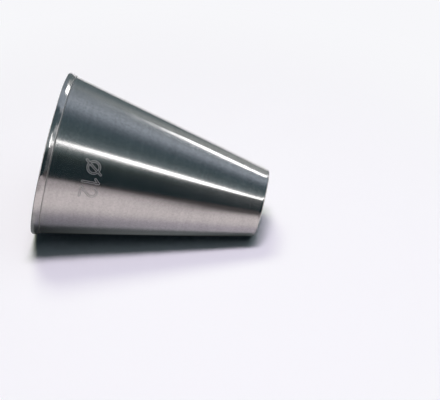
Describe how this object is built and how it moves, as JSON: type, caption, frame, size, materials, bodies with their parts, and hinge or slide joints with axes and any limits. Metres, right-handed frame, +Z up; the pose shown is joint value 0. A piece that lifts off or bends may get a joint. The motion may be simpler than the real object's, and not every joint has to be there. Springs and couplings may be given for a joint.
{
  "type": "piping nozzle",
  "caption": "Plain round piping nozzle: open stainless cone with an outward folded rim at the wide mouth and a short straight land at the outlet, lying on its side.",
  "frame": {"origin": "On the table under the middle of the nozzle's box: the nozzle lies on its side, touching the table with a flat of its folded rim and with the edge of its outlet.", "axes": "+Z is up. The nozzle's own axis lies in the XZ plane and points to +X and 12.7 degrees down, so the outlet faces +X and the wide mouth faces -X and a little up."},
  "size_m": [0.0438, 0.0306, 0.0299],
  "materials": {
    "satin_stainless": "satin stainless steel with fine turned lines round the axis, brighter along the rounded rim and outlet edges"
  },
  "bodies": {
    "root": {"nozzle_shell": "satin_stainless"}
  },
  "joints": []
}
